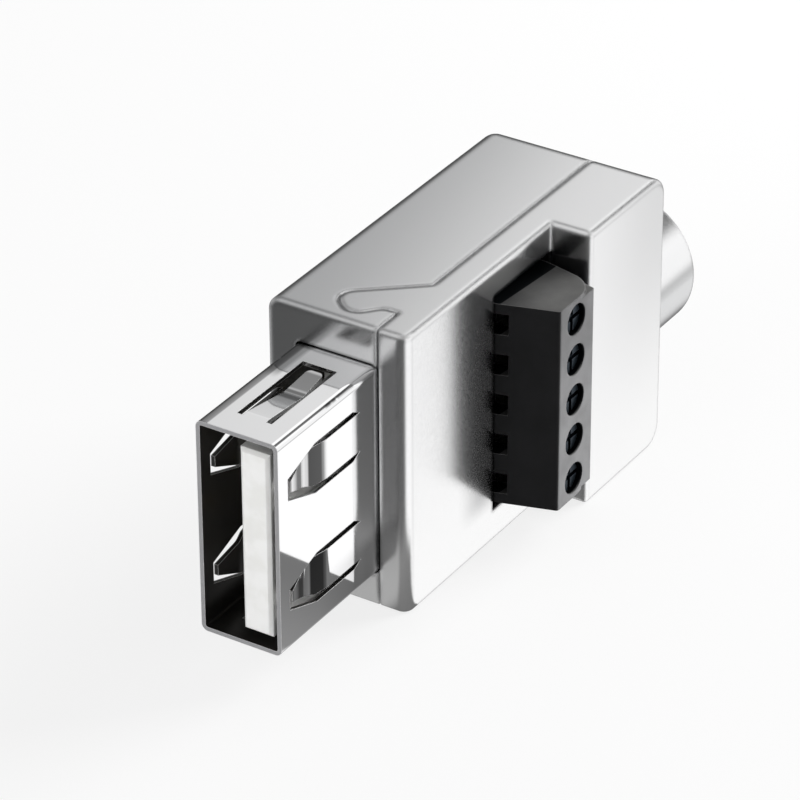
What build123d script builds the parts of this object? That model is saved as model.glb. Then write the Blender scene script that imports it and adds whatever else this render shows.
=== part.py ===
from build123d import *
import os

# A USB socket wired to a five-pole screw terminal block, in a two-part cast
# housing with a round cable outlet. Millimetres. X runs across the housing
# towards the terminals, Y along it towards the cable outlet, Z is up. The
# origin is on the bottom face, in the socket's centre plane, at mid-length.

os.makedirs("parts", exist_ok=True)

# Plug that the socket takes
plug_thickness = 4.5
plug_width = 12.0
plug_depth = 11.8
plug_wall = 0.3

# Socket: a folded steel shell round an insulator with a tongue
socket_wall = 0.25
socket_gap_broad = 0.06
socket_gap_narrow = 0.3
socket_corner = 0.4
socket_projection = 9.5
socket_length = 14.0
socket_drop = 0.1
tongue_thickness = 1.84
tongue_width = 11.3
tongue_setback = 0.1
tongue_gap = 0.05
tongue_chamfer = 0.2
insulator_gap = 0.02

# Spring tabs of the socket shell, lengths from the mouth
tab_spacing = 6.8
tab_front = 0.9
tab_shoulder = 3.5
tab_crest = 2.9
tab_bend = 4.6
tab_root = 7.8
tab_width = 2.4
tab_tip_width = 0.65
tab_slot = 0.33
tab_bend_radius = 1.0
tab_tongue_gap = 0.08
key_tab_front = 1.7
key_tab_crest = 5.4
key_tab_rear = 7.95
key_tab_width = 1.5
key_tab_end_width = 1.0
key_tab_dip = 0.42
key_tab_end_gap = 0.35
shell_leg_width = 1.2
shell_leg_inset = 1.4

# Socket contacts
contact_spacings = (-3.5, -1.0, 1.0, 3.5)
contact_width = 0.8
contact_thickness = 0.2
contact_groove = 0.3
contact_groove_front = 0.6
contact_front = 1.1
contact_side_gap = 0.08
contact_rise = 0.3
contact_crest = 3.9
contact_crest_flat = 0.3
contact_bend_gap = 0.45
contact_bend = 0.15

# Circuit board
board_thickness = 0.6
board_gap = 0.34
board_edge_gap = 0.15
board_tail = 1.1
board_hole_gap = 0.12
solder_stub = 0.2
rest_width = 1.2
rest_front_inset = 1.2
rest_front_spacing = 8.0
rest_rear_inset = 0.8
rest_rear_spacing = 12.0
peg_radius = 0.4
peg_spacing = 11.5
peg_gap = 0.03

# Terminal block
poles = 5
pole_spacing = 2.54
block_depth = 5.5
block_top_depth = 3.64
block_top_setback = 1.06
block_stand = 1.0
block_rise = 0.15
block_edge = 0.2
block_end_radius = 1.9
block_end_depth = 0.25
screw_setback = 2.75
screw_hole_radius = 0.95
screw_head_radius = 0.85
screw_head_height = 0.45
screw_recess = 0.3
screw_radius = 0.7
screw_cross_width = 0.3
screw_cross_depth = 0.25
thread_gap = 0.02
shank_gap = 0.05
seat_gap = 0.03
seat_thickness = 0.35
cage_travel = 0.9
cage_nut_wall = 0.6
cage_floor = 0.3
cage_side = 0.2
cage_length = 3.0
cage_gap = 0.05
cage_end_gap = 0.1
bar_thickness = 0.3
bar_gap = 0.1
clamp_gap = 0.1
entry_width = 1.3
entry_flare = 0.48
entry_lip = 0.1
pin_width = 1.0
pin_slot_gap = 0.05
pin_setback = 0.4
pin_bend = 0.2

# Housing
wall = 0.9
cover_depth = 1.85
step_height = 2.5
front_section = 14.95
rear_section = 8.35
window_margin = 0.5
window_rim = 1.9
window_front_gap = 0.15
block_rear_gap = 0.45
socket_clearance = 0.08
parting_gap = 0.04
rear_edge_radius = 1.3
left_edge_radius = 0.85
corner_radius = 0.65
edge_radius = 0.3
groove_width = 0.2
groove_depth = 0.14

# Hooked finger of the cover, corners from the parting line and the front
finger_corners = ((0, 2.15), (-0.95, 2.1), (-2.25, 0.55), (-4.15, 2.2), (0, 5.67))
finger_radii = (0.15, 0.8, 0.95, 0.95, 0.3)

# Cable outlet: a half-round spigot on each housing part, held by a collar
outlet_offset = -0.25
outlet_bore_radius = 3.0
spigot_wall = 0.6
spigot_length = 3.5
collar_radius = 4.3
collar_gap = 0.05
collar_lip = 1.0
collar_edge = 0.35

# Places worked out from the dimensions above
socket_opening = plug_thickness + 2 * socket_gap_broad
socket_thickness = socket_opening + 2 * socket_wall
socket_height = plug_width + 2 * (socket_gap_narrow + socket_wall)
block_length = poles * pole_spacing
window_height = block_length + 2 * window_margin
housing_height = max(window_height + 2 * window_rim, socket_height + 4 * wall)
housing_length = front_section + rear_section

board_top_x = -socket_thickness / 2
board_bottom_x = board_top_x - board_thickness
inner_left_x = board_bottom_x - board_gap
left_x = inner_left_x - wall
solder_x = board_bottom_x - solder_stub
parting_x = socket_thickness / 2 + parting_gap
front_right_x = parting_x + cover_depth
rear_right_x = front_right_x + step_height
block_top_x = rear_right_x + block_stand

front_y = -housing_length / 2
rear_y = housing_length / 2
step_y = front_y + front_section
mouth_y = front_y - socket_projection
socket_rear_y = mouth_y + socket_length
block_rear_y = step_y - block_rear_gap
block_front_y = block_rear_y - block_depth
screw_y = block_front_y + screw_setback
window_front_y = block_front_y - window_front_gap

middle_z = housing_height / 2
socket_z = middle_z - socket_drop
block_z = middle_z + block_rise
block_base_z = block_z - block_length / 2
pole_heights = [block_z + (k - (poles - 1) / 2) * pole_spacing for k in range(poles)]

outlet_x = parting_x + outlet_offset
outlet_y = rear_y + spigot_length

tongue_front_y = mouth_y + tongue_setback
insulator_front_y = mouth_y + plug_depth
tongue_space = plug_wall + socket_gap_broad + tongue_gap
tongue_right_x = socket_opening / 2 - tongue_space
tongue_left_x = tongue_right_x - tongue_thickness
tab_dip = tongue_space - tab_tongue_gap
contact_heights = [socket_z + spacing for spacing in contact_spacings]
contact_bed_x = tongue_left_x + contact_groove - contact_thickness / 2
contact_crest_x = tongue_left_x - contact_rise + contact_thickness / 2
contact_tail_y = socket_rear_y + contact_bend_gap
shell_leg_y = socket_rear_y - shell_leg_inset

board_front_y = front_y + wall + board_edge_gap
board_rear_y = block_rear_y + board_tail
board_width = housing_height - 2 * (wall + board_edge_gap)
peg_y = (contact_tail_y + block_front_y) / 2

head_top_x = block_top_x - screw_recess
head_base_x = head_top_x - screw_head_height
cavity_top_x = head_base_x - seat_gap - seat_thickness
cage_top_x = cavity_top_x - cage_gap - cage_travel
nut_base_x = cage_top_x - cage_nut_wall
screw_tip_x = nut_base_x - bar_gap
bar_top_x = screw_tip_x - bar_gap
bar_base_x = bar_top_x - bar_thickness
wire_floor_x = bar_base_x - clamp_gap - cage_travel
cage_base_x = wire_floor_x - cage_floor
cage_width = 2 * (screw_radius + cage_gap + cage_side)
cavity_width = cage_width + 2 * cage_gap
cavity_length = cage_length + 2 * cage_end_gap
pin_y = screw_y + cavity_length / 2 + pin_setback


def plane_at_y(y):
    # Section plane facing the mouth: local X is X, local Y is Z
    return Plane.XZ.offset(-y)


def plane_at_x(x, height=0):
    # Section plane facing the terminals: local X is Y, local Y is Z
    return Plane((x, 0, height), x_dir=(0, 1, 0), z_dir=(1, 0, 0))


def strip(points, thickness, bend_radius=0):
    # Closed outline of a bent strip, from the corners along its middle
    with BuildSketch(mode=Mode.PRIVATE) as outline:
        with BuildLine(mode=Mode.PRIVATE) as middle:
            if bend_radius > 0:
                FilletPolyline(*points, radius=bend_radius)
            else:
                Polyline(*points)
        trace(middle.line, line_width=thickness)
    return outline.sketch


def plan_corners(inset):
    # Corners of the housing seen from above, moved inwards by the inset
    return [
        (left_x + inset, front_y + inset),
        (front_right_x - inset, front_y + inset),
        (front_right_x - inset, step_y + inset),
        (rear_right_x - inset, step_y + inset),
        (rear_right_x - inset, rear_y - inset),
        (left_x + inset, rear_y - inset),
    ]


def housing_form(inset):
    # Rounded outside of the housing, every face moved inwards by the inset
    with BuildPart() as form:
        with BuildSketch(Plane.XY.offset(inset)) as plan:
            with BuildLine():
                Polyline(*plan_corners(inset), close=True)
            make_face()
            front_corner = plan.vertices().group_by(Axis.Y)[0].sort_by(Axis.X)[-1]
            fillet(front_corner, corner_radius - inset)
        extrude(amount=housing_height - 2 * inset)
        rear_edges = form.edges().filter_by(Axis.X).group_by(Axis.Y)[-1]
        fillet(rear_edges, rear_edge_radius - inset)
        left_edges = form.faces().sort_by(Axis.X)[0].edges()
        fillet(left_edges.sort_by(Axis.Y)[1:], left_edge_radius - inset)
        front_edges = form.faces().sort_by(Axis.Y)[0].edges()
        step_face = form.faces().filter_by(Axis.Y).sort_by(Axis.Y)[1]
        step_edges = step_face.edges().sort_by(Axis.X)[1:]
        rear_face = form.faces().sort_by(Axis.X)[-1]
        right_edges = rear_face.edges().sort_by(Axis.Y)[1:]
        fillet(front_edges + step_edges + right_edges, edge_radius - inset)
    return form.part


def parting_line(front, rear):
    # Line along which the two housing parts meet, seen from above
    corners = [(parting_x + dx, front_y + dy) for dx, dy in finger_corners]
    return FilletPolyline((parting_x, front), *corners, (parting_x, rear), radius=finger_radii)


def parting_groove():
    # Shallow groove that follows the parting line over every outer face
    with BuildPart() as groove:
        with BuildSketch():
            with BuildLine() as line:
                parting_line(front_y - groove_width, rear_y)
            trace(line.line, line_width=groove_width)
        extrude(amount=housing_height)
        add(housing_form(groove_depth), mode=Mode.SUBTRACT)
    return groove.part


def base_region():
    # Space on the base's side of the parting line
    front = mouth_y
    rear = outlet_y + wall
    with BuildPart() as region:
        with BuildSketch():
            with BuildLine():
                parting_line(front, rear)
                Polyline(
                    (parting_x, rear),
                    (left_x - wall, rear),
                    (left_x - wall, front),
                    (parting_x, front),
                )
            make_face()
        extrude(amount=housing_height)
    return region.part


def cast_housing():
    # The two housing parts in one, before the parting line divides them
    with BuildPart() as cast:
        add(housing_form(0))
        with BuildSketch(plane_at_y(rear_y)):
            with Locations((outlet_x, middle_z)):
                Circle(outlet_bore_radius + spigot_wall)
        extrude(amount=-spigot_length)
        with BuildSketch(Plane.XY.offset(wall)):
            with BuildLine():
                Polyline(*plan_corners(wall), close=True)
            make_face()
        extrude(amount=housing_height - 2 * wall, mode=Mode.SUBTRACT)
        with BuildSketch(plane_at_y(outlet_y)):
            with Locations((outlet_x, middle_z)):
                Circle(outlet_bore_radius)
        extrude(amount=spigot_length + wall, mode=Mode.SUBTRACT)
        opening_left_x = -socket_thickness / 2 - socket_clearance
        opening_width = parting_x - opening_left_x
        with BuildSketch(plane_at_y(front_y)):
            with Locations((opening_left_x + opening_width / 2, socket_z)):
                opening_height = socket_height + 2 * socket_clearance
                RectangleRounded(opening_width, opening_height, socket_corner)
        extrude(amount=-wall, mode=Mode.SUBTRACT)
        with BuildSketch(plane_at_x(front_right_x)):
            with Locations(((window_front_y + step_y) / 2, block_z)):
                Rectangle(step_y - window_front_y, window_height)
        extrude(amount=-wall, mode=Mode.SUBTRACT)
        add(parting_groove(), mode=Mode.SUBTRACT)
    return cast.part


# Housing base: left part, carries the board on rests and two pegs
with BuildPart() as shell_base:
    add(cast_housing())
    add(base_region(), mode=Mode.INTERSECT)
    with BuildSketch(plane_at_x(inner_left_x)):
        with Locations((board_front_y + rest_front_inset, middle_z)):
            with GridLocations(1, rest_front_spacing, 1, 2):
                Rectangle(rest_width, rest_width)
        with Locations((board_rear_y - rest_rear_inset, middle_z)):
            with GridLocations(1, rest_rear_spacing, 1, 2):
                Rectangle(rest_width, rest_width)
        with Locations((peg_y, middle_z)):
            with GridLocations(1, peg_spacing, 1, 2):
                Rectangle(rest_width, rest_width)
    extrude(amount=board_gap)
    with BuildSketch(plane_at_x(board_bottom_x)):
        with Locations((peg_y, middle_z)):
            with GridLocations(1, peg_spacing, 1, 2):
                RegularPolygon(peg_radius, 6)
    extrude(amount=board_thickness + peg_radius / 2)
shell_base.part.label = "shell_base"
export_step(shell_base.part, "parts/shell_base.step")

# Housing cover: right part, with the step, the window and the hooked finger
with BuildPart() as shell_cover:
    add(cast_housing())
    add(base_region(), mode=Mode.SUBTRACT)
shell_cover.part.label = "shell_cover"
export_step(shell_cover.part, "parts/shell_cover.step")

# Collar: holds both spigots together, its lip is the cable outlet
with BuildPart() as cable_collar:
    with BuildSketch(plane_at_y(rear_y)):
        with Locations((outlet_x, middle_z)):
            Circle(collar_radius)
            Circle(outlet_bore_radius, mode=Mode.SUBTRACT)
    extrude(amount=-spigot_length - collar_gap - collar_lip)
    with BuildSketch(plane_at_y(rear_y)):
        with Locations((outlet_x, middle_z)):
            Circle(outlet_bore_radius + spigot_wall + collar_gap)
    extrude(amount=-spigot_length - collar_gap, mode=Mode.SUBTRACT)
    end_edges = cable_collar.edges().filter_by(GeomType.CIRCLE).group_by(Axis.Y)[-1]
    chamfer(end_edges.sort_by(SortBy.RADIUS)[-1], collar_edge)
cable_collar.part.label = "cable_collar"
export_step(cable_collar.part, "parts/cable_collar.step")


def broad_tab_outline(start, end, spare):
    # Pointed spring tab on a broad side, from near the mouth back to its root
    half_tip = tab_tip_width / 2 + spare
    half_root = tab_width / 2
    half_width = half_root + spare
    taper_y = mouth_y + end - 2 * tab_slot
    Polyline(
        (mouth_y + start, -half_tip),
        (mouth_y + tab_shoulder, -half_width),
        (taper_y, -half_width),
        (mouth_y + end, -half_root),
        (mouth_y + end, half_root),
        (taper_y, half_width),
        (mouth_y + tab_shoulder, half_width),
        (mouth_y + start, half_tip),
        close=True,
    )


def broad_tab(side, height):
    # Spring tab that dips towards the plug and flares out again at its tip
    skin_x = side * (socket_thickness - socket_wall) / 2
    crest_x = skin_x - side * tab_dip
    middle = [
        (skin_x, mouth_y + tab_root + socket_wall),
        (skin_x, mouth_y + tab_bend),
        (crest_x, mouth_y + tab_crest),
        (skin_x, mouth_y + tab_front),
    ]
    with BuildPart() as tab:
        with BuildSketch(Plane.XY.offset(height - tab_width / 2)):
            add(strip(middle, socket_wall, tab_bend_radius))
        extrude(amount=tab_width)
        with BuildSketch(plane_at_x(-socket_thickness, height)):
            with BuildLine():
                broad_tab_outline(tab_front + tab_slot, tab_root + socket_wall, 0)
            make_face()
        extrude(amount=2 * socket_thickness, mode=Mode.INTERSECT)
    return tab.part


def key_tab(side):
    # Spring tab on a narrow side, rooted near the mouth, free end at the rear
    skin_z = socket_z + side * (socket_height - socket_wall) / 2
    crest_z = skin_z - side * key_tab_dip
    end_y = mouth_y + key_tab_rear - key_tab_end_gap
    middle = [
        (mouth_y + key_tab_front - socket_wall, skin_z),
        (mouth_y + key_tab_front + key_tab_end_gap, skin_z),
        (mouth_y + key_tab_crest, crest_z),
        (end_y, skin_z - side * key_tab_dip / 3),
    ]
    with BuildPart() as tab:
        with BuildSketch(plane_at_x(-key_tab_width / 2)):
            add(strip(middle, socket_wall, tab_bend_radius))
        extrude(amount=key_tab_width)
        with BuildSketch(Plane.XY) as outline:
            with BuildLine():
                Polyline(
                    (-key_tab_width / 2, mouth_y + key_tab_front - socket_wall),
                    (key_tab_width / 2, mouth_y + key_tab_front - socket_wall),
                    (key_tab_end_width / 2, end_y),
                    (-key_tab_end_width / 2, end_y),
                    close=True,
                )
            make_face()
            end_corners = outline.vertices().group_by(Axis.Y)[-1]
            fillet(end_corners, key_tab_end_width / 3)
        extrude(amount=housing_height, mode=Mode.INTERSECT)
    return tab.part


# Socket shell: folded sheet steel with six spring tabs and two solder legs
with BuildPart() as usb_shell:
    with BuildSketch(plane_at_y(mouth_y)):
        with Locations((0, socket_z)):
            RectangleRounded(socket_thickness, socket_height, socket_corner)
            RectangleRounded(
                socket_opening,
                socket_height - 2 * socket_wall,
                socket_corner - socket_wall,
                mode=Mode.SUBTRACT,
            )
    extrude(amount=-socket_length)
    for tab_z in (socket_z - tab_spacing / 2, socket_z + tab_spacing / 2):
        with BuildSketch(plane_at_x(-socket_thickness, tab_z)):
            with BuildLine():
                broad_tab_outline(tab_front, tab_root, tab_slot)
            make_face()
        extrude(amount=2 * socket_thickness, mode=Mode.SUBTRACT)
        add(broad_tab(-1, tab_z))
        add(broad_tab(1, tab_z))
    with BuildSketch(Plane.XY):
        with Locations((0, mouth_y + (key_tab_front + key_tab_rear) / 2)):
            Rectangle(key_tab_width + 2 * tab_slot, key_tab_rear - key_tab_front)
    extrude(amount=housing_height, mode=Mode.SUBTRACT)
    add(key_tab(-1))
    add(key_tab(1))
    leg_height = board_top_x + socket_corner + socket_wall - solder_x
    with BuildSketch(plane_at_x(solder_x)):
        with Locations((shell_leg_y, socket_z)):
            with GridLocations(1, socket_height - socket_wall, 1, 2):
                Rectangle(shell_leg_width, socket_wall)
    extrude(amount=leg_height)
usb_shell.part.label = "usb_shell"
export_step(usb_shell.part, "parts/usb_shell.step")

# Insulator: white block at the back of the socket with its tongue in front
with BuildPart() as usb_insulator:
    with BuildSketch(plane_at_y(insulator_front_y)):
        with Locations((0, socket_z)):
            RectangleRounded(
                socket_opening - 2 * insulator_gap,
                socket_height - 2 * (socket_wall + insulator_gap),
                socket_corner,
            )
    extrude(amount=insulator_front_y - socket_rear_y)
    with BuildSketch(plane_at_y(tongue_front_y)):
        with Locations(((tongue_left_x + tongue_right_x) / 2, socket_z)):
            Rectangle(tongue_thickness, tongue_width)
    extrude(amount=tongue_front_y - insulator_front_y)
    nose = usb_insulator.faces().sort_by(Axis.Y)[0]
    chamfer(nose.edges(), tongue_chamfer)
    groove_front_y = mouth_y + contact_groove_front
    for contact_z in contact_heights:
        with BuildSketch(plane_at_x(tongue_left_x, contact_z)):
            with Locations(((groove_front_y + socket_rear_y) / 2, 0)):
                Rectangle(socket_rear_y - groove_front_y, contact_width + 2 * contact_side_gap)
        extrude(amount=contact_groove, mode=Mode.SUBTRACT)
usb_insulator.part.label = "usb_insulator"
export_step(usb_insulator.part, "parts/usb_insulator.step")

# Socket contacts: sprung strips in the tongue's grooves, bent down at the back
contact_path = [
    (contact_bed_x, mouth_y + contact_front),
    (contact_bed_x, mouth_y + contact_crest - 3 * contact_rise),
    (contact_crest_x, mouth_y + contact_crest - contact_crest_flat / 2),
    (contact_crest_x, mouth_y + contact_crest + contact_crest_flat / 2),
    (contact_bed_x, mouth_y + contact_crest + 3 * contact_rise),
    (contact_bed_x, contact_tail_y - contact_bend),
    (contact_bed_x - contact_bend, contact_tail_y),
    (solder_x, contact_tail_y),
]
for number, contact_z in enumerate(contact_heights, start=1):
    with BuildPart() as usb_contact:
        with BuildSketch(Plane.XY.offset(contact_z - contact_width / 2)):
            add(strip(contact_path, contact_thickness))
        extrude(amount=contact_width)
    usb_contact.part.label = f"usb_contact_{number}"
    export_step(usb_contact.part, f"parts/usb_contact_{number}.step")

# Circuit board: carries the socket and the terminal block, joins their pins
with BuildPart() as circuit_board:
    with BuildSketch(plane_at_x(board_bottom_x)):
        with Locations(((board_front_y + board_rear_y) / 2, middle_z)):
            Rectangle(board_rear_y - board_front_y, board_width)
        with Locations((peg_y, middle_z)):
            with GridLocations(1, peg_spacing, 1, 2):
                Circle(peg_radius + peg_gap, mode=Mode.SUBTRACT)
        with Locations(*[(contact_tail_y, contact_z) for contact_z in contact_heights]):
            Rectangle(
                contact_thickness + 2 * board_hole_gap,
                contact_width + 2 * board_hole_gap,
                mode=Mode.SUBTRACT,
            )
        with Locations((shell_leg_y, socket_z)):
            with GridLocations(1, socket_height - socket_wall, 1, 2):
                Rectangle(
                    shell_leg_width + 2 * board_hole_gap,
                    socket_wall + 2 * board_hole_gap,
                    mode=Mode.SUBTRACT,
                )
        with Locations((pin_y, block_z)):
            with GridLocations(1, pole_spacing, 1, poles):
                Rectangle(
                    bar_thickness + 2 * board_hole_gap,
                    pin_width + 2 * board_hole_gap,
                    mode=Mode.SUBTRACT,
                )
    extrude(amount=board_thickness)
circuit_board.part.label = "circuit_board"
export_step(circuit_board.part, "parts/circuit_board.step")

# Corners of the terminal block's section, seen from above
block_corners = [
    (board_top_x, block_front_y),
    (front_right_x, block_front_y),
    (block_top_x, block_front_y + block_top_setback),
    (block_top_x, block_front_y + block_top_setback + block_top_depth),
    (front_right_x, block_rear_y),
    (board_top_x, block_rear_y),
]


def block_section(height, rear_radius):
    # Section of the terminal block from above, its outer corners rounded
    with BuildSketch(Plane.XY.offset(height)) as section:
        with BuildLine():
            Polyline(*block_corners, close=True)
        make_face()
        rear_corner = section.vertices().group_by(Axis.X)[-1].sort_by(Axis.Y)[-1]
        fillet(rear_corner, rear_radius)
        front_corner = section.vertices().group_by(Axis.X)[-1].sort_by(Axis.Y)[0]
        fillet(front_corner, block_edge)
    return section.sketch


# Terminal block body: one screw well, cage shaft and wire entry for each pole
end_section = block_section(block_base_z, block_end_radius)
middle_section = block_section(block_base_z + block_end_depth, block_edge)
with BuildPart() as terminal_housing:
    extrude(end_section, amount=block_length)
    extrude(middle_section, amount=block_length - 2 * block_end_depth)
    with BuildSketch(plane_at_x(block_top_x, block_z)):
        with Locations((screw_y, 0)):
            with GridLocations(1, pole_spacing, 1, poles):
                Circle(screw_hole_radius)
    extrude(amount=head_base_x - seat_gap - block_top_x, mode=Mode.SUBTRACT)
    with BuildSketch(plane_at_x(cavity_top_x, block_z)):
        with Locations((screw_y, 0)):
            with GridLocations(1, pole_spacing, 1, poles):
                Circle(screw_radius + shank_gap)
    extrude(amount=seat_thickness, mode=Mode.SUBTRACT)
    with BuildSketch(plane_at_x(board_top_x, block_z)):
        with Locations((screw_y, 0)):
            with GridLocations(1, pole_spacing, 1, poles):
                Rectangle(cavity_length, cavity_width)
    extrude(amount=cavity_top_x - board_top_x, mode=Mode.SUBTRACT)
    slot_rear_y = pin_y + bar_thickness / 2
    with BuildSketch(plane_at_x(board_top_x, block_z)):
        with Locations(((screw_y + slot_rear_y) / 2, 0)):
            with GridLocations(1, pole_spacing, 1, poles):
                Rectangle(slot_rear_y - screw_y, pin_width + 2 * pin_slot_gap)
    extrude(amount=bar_top_x + pin_slot_gap - board_top_x, mode=Mode.SUBTRACT)
    for pole_z in pole_heights:
        with BuildSketch(Plane.XY.offset(pole_z - entry_width / 2)):
            with BuildLine():
                Polyline(
                    (wire_floor_x, screw_y - cage_length / 2),
                    (bar_base_x, screw_y - cage_length / 2),
                    (bar_base_x + entry_flare, block_front_y),
                    (wire_floor_x - entry_lip, block_front_y),
                    close=True,
                )
            make_face()
        extrude(amount=entry_width, mode=Mode.SUBTRACT)
terminal_housing.part.label = "terminal_housing"
export_step(terminal_housing.part, "parts/terminal_housing.step")

# Pins: the bar that the wire is pressed against, bent down through the board
pin_path = [
    (bar_base_x + bar_thickness / 2, screw_y - cage_length / 2 + clamp_gap),
    (bar_base_x + bar_thickness / 2, pin_y - pin_bend),
    (bar_base_x + bar_thickness / 2 - pin_bend, pin_y),
    (solder_x, pin_y),
]
for number, pole_z in enumerate(pole_heights, start=1):
    with BuildPart() as terminal_pin:
        with BuildSketch(Plane.XY.offset(pole_z - pin_width / 2)):
            add(strip(pin_path, bar_thickness))
        extrude(amount=pin_width)
    terminal_pin.part.label = f"terminal_pin_{number}"
    export_step(terminal_pin.part, f"parts/terminal_pin_{number}.step")

# Cages: each rises along its screw's thread and lifts the wire to the bar
for number, pole_z in enumerate(pole_heights, start=1):
    with BuildPart() as terminal_cage:
        with BuildSketch(plane_at_x(cage_base_x, pole_z)):
            with Locations((screw_y, 0)):
                Rectangle(cage_length, cage_width)
        extrude(amount=cage_top_x - cage_base_x)
        with BuildSketch(plane_at_x(wire_floor_x, pole_z)):
            with Locations((screw_y, 0)):
                Rectangle(cage_length, cage_width - 2 * cage_side)
        extrude(amount=nut_base_x - wire_floor_x, mode=Mode.SUBTRACT)
        with BuildSketch(plane_at_x(nut_base_x, pole_z)):
            with Locations((screw_y, 0)):
                Circle(screw_radius + thread_gap)
        extrude(amount=cage_nut_wall, mode=Mode.SUBTRACT)
    terminal_cage.part.label = f"terminal_cage_{number}"
    export_step(terminal_cage.part, f"parts/terminal_cage_{number}.step")

# Screws: cross-slotted heads at the bottom of the wells, turning in place
for number, pole_z in enumerate(pole_heights, start=1):
    with BuildPart() as terminal_screw:
        with BuildSketch(plane_at_x(head_base_x, pole_z)):
            with Locations((screw_y, 0)):
                Circle(screw_head_radius)
        extrude(amount=screw_head_height)
        with BuildSketch(plane_at_x(screw_tip_x, pole_z)):
            with Locations((screw_y, 0)):
                Circle(screw_radius)
        extrude(amount=head_base_x - screw_tip_x)
        with BuildSketch(plane_at_x(head_top_x, pole_z)):
            with Locations((screw_y, 0)):
                Rectangle(2 * screw_head_radius, screw_cross_width)
                Rectangle(screw_cross_width, 2 * screw_head_radius)
        extrude(amount=-screw_cross_depth, mode=Mode.SUBTRACT)
    terminal_screw.part.label = f"terminal_screw_{number}"
    export_step(terminal_screw.part, f"parts/terminal_screw_{number}.step")
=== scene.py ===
import math

import bpy
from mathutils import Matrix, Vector

# Looks for the USB socket and screw terminal adapter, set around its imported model.
# The scene is in metres in the model's own frame: mouth to -Y, terminals to +X.
# The dictionaries give places and sizes in millimetres, and mm turns them into metres.

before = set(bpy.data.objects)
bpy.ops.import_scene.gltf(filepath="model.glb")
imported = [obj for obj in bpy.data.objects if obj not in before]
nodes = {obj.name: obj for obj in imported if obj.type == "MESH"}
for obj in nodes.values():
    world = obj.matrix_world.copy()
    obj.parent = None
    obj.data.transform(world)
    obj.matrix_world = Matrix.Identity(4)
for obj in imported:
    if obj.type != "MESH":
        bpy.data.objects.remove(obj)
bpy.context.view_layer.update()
mm = 0.001
print("frame loaded:", len(nodes), "nodes")

shellNodes = ("shell_base", "shell_cover", "cable_collar")
contactNodes = [name for name in nodes if name.startswith("usb_contact")]
pinNodes = [name for name in nodes if name.startswith("terminal_pin")]
cageNodes = [name for name in nodes if name.startswith("terminal_cage")]
screwNodes = [name for name in nodes if name.startswith("terminal_screw")]


# Camera at the photograph's view

cameraLook = {
    "aim": (0.323, -5.837, 9.480),
    "azimuth": 32.45,
    "elevation": 30.97,
    "roll": -0.29,
    "distance": 249.7,
    "lens": 205.2,
    "sensor": 36.0,
    "clip": (5.0, 5000.0),
}


def addCamera(look):
    around, up = math.radians(look["azimuth"]), math.radians(look["elevation"])
    back = Vector((math.sin(around) * math.cos(up), -math.cos(around) * math.cos(up), math.sin(up)))
    data = bpy.data.cameras.new("photoCamera")
    data.lens = look["lens"]
    data.sensor_width = look["sensor"]
    data.clip_start, data.clip_end = (reach * mm for reach in look["clip"])
    camera = bpy.data.objects.new("photoCamera", data)
    camera.location = (Vector(look["aim"]) + back * look["distance"]) * mm
    turn = (-back).to_track_quat("-Z", "Y").to_euler()
    turn.rotate_axis("Z", math.radians(look["roll"]))
    camera.rotation_euler = turn
    bpy.context.scene.collection.objects.link(camera)
    bpy.context.scene.camera = camera


addCamera(cameraLook)
print("camera set")


# Node helpers

def mathNode(tree, operation, first, second=None, clamp=False):
    node = tree.nodes.new("ShaderNodeMath")
    node.operation = operation
    node.use_clamp = clamp
    for socket, value in zip(node.inputs, (first, second)):
        if value is None:
            continue
        if isinstance(value, (int, float)):
            socket.default_value = value
        else:
            tree.links.new(value, socket)
    return node.outputs[0]


def productOf(tree, first, *others):
    for other in others:
        first = mathNode(tree, "MULTIPLY", first, other)
    return first


def distanceFrom(tree, value, middle):
    return mathNode(tree, "ABSOLUTE", mathNode(tree, "SUBTRACT", value, middle))


def fadeBetween(tree, value, start, end, low=0.0, high=1.0):
    # low up to start, high from end on, smooth between
    node = tree.nodes.new("ShaderNodeMapRange")
    node.interpolation_type = "SMOOTHSTEP"
    node.inputs["From Min"].default_value = start
    node.inputs["From Max"].default_value = end
    node.inputs["To Min"].default_value = low
    node.inputs["To Max"].default_value = high
    tree.links.new(value, node.inputs["Value"])
    return node.outputs["Result"]


def splitParts(tree, source):
    parts = tree.nodes.new("ShaderNodeSeparateXYZ")
    tree.links.new(source, parts.inputs[0])
    return [parts.outputs[k] for k in range(3)]


# Floor, backdrop and lamps

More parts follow.
